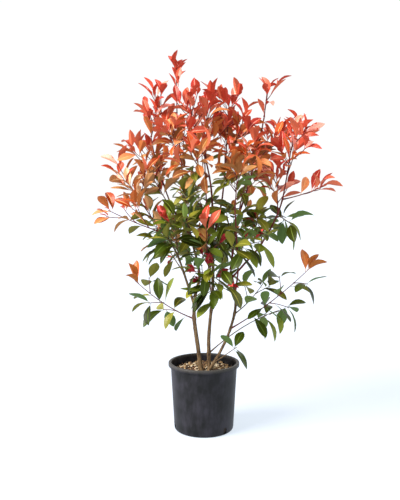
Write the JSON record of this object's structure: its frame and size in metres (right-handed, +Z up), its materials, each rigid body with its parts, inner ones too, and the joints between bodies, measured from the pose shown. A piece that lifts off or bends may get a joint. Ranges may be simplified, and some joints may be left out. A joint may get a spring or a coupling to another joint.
{
  "type": "potted red robin photinia",
  "caption": "Potted red robin photinia shrub: bare stems fork into boughs with sprays of red, orange and green leaves, in a round black nursery pot.",
  "frame": {"origin": "middle of the pot's flat underside", "axes": "+Z up, +X to the viewer's right in the picture, +Y away from the viewer"},
  "size_m": [0.8891, 0.6539, 1.3881],
  "materials": {
    "pot_plastic": "moulded, slightly glossy black plastic",
    "bark_mulch": "pale chipped bark nuggets over dark mix",
    "stem_bark": "smooth tan-brown bark with fine fissures",
    "young_bark": "smooth maroon young bark",
    "scarlet_leaf": "glossy newest leaf",
    "coral_leaf": "glossy young leaf",
    "orange_leaf": "glossy young leaf",
    "bronze_leaf": "leaf turning from red to green",
    "olive_leaf": "leaf turning green",
    "green_leaf": "leathery full-grown leaf",
    "dark_green_leaf": "leathery old leaf"
  },
  "bodies": {
    "root": {"back_leader": "young_bark", "back_low_spray": "green_leaf", "back_right_bough": "young_bark", "back_right_spray": "olive_leaf", "back_spray": "olive_leaf", "back_top": "bronze_leaf", "centre_leader": "young_bark", "centre_leader_back": "orange_leaf", "centre_spray": "coral_leaf", "centre_top": "scarlet_leaf", "far_right_spray": "orange_leaf", "front_leader": "young_bark", "front_low_spray": "dark_green_leaf", "front_orange_spray": "orange_leaf", "front_right_bough": "young_bark", "front_right_low_spray": "dark_green_leaf", "front_right_spray": "olive_leaf", "front_rosette": "dark_green_leaf", "left_back_spray": "green_leaf", "left_fork_whorl": "dark_green_leaf", "left_green_spray": "green_leaf", "left_inner_bough": "stem_bark", "left_inner_spray": "olive_leaf", "left_leader": "young_bark", "left_leader_back": "bronze_leaf", "left_low_spray": "bronze_leaf", "left_orange_spray": "orange_leaf", "left_outer_bough": "stem_bark", "left_side_spray": "green_leaf", "left_spray": "orange_leaf", "left_stem": "stem_bark", "left_top": "coral_leaf", "low_left_spray": "green_leaf", "low_right_spray": "green_leaf", "lowest_right_spray": "dark_green_leaf", "middle_spray": "olive_leaf", "middle_stem": "stem_bark", "pot": "pot_plastic", "pot_side_sprig": "dark_green_leaf", "potting_mix": "bark_mulch", "right_centre_spray": "orange_leaf", "right_centre_top": "coral_leaf", "right_hanging_spray": "green_leaf", "right_inner_low_spray": "dark_green_leaf", "right_inner_spray": "bronze_leaf", "right_leader": "young_bark", "right_leader_back": "bronze_leaf", "right_low_whorl": "green_leaf", "right_outer_back": "coral_leaf", "right_outer_bough": "young_bark", "right_outer_side": "orange_leaf", "right_outer_top": "coral_leaf", "right_stem": "stem_bark", "right_tall_top": "scarlet_leaf", "right_upper_spray": "orange_leaf", "tall_leader": "young_bark", "tall_leader_back": "orange_leaf", "tall_leader_front": "orange_leaf", "tall_top": "scarlet_leaf", "thin_top": "coral_leaf"}
  },
  "joints": []
}
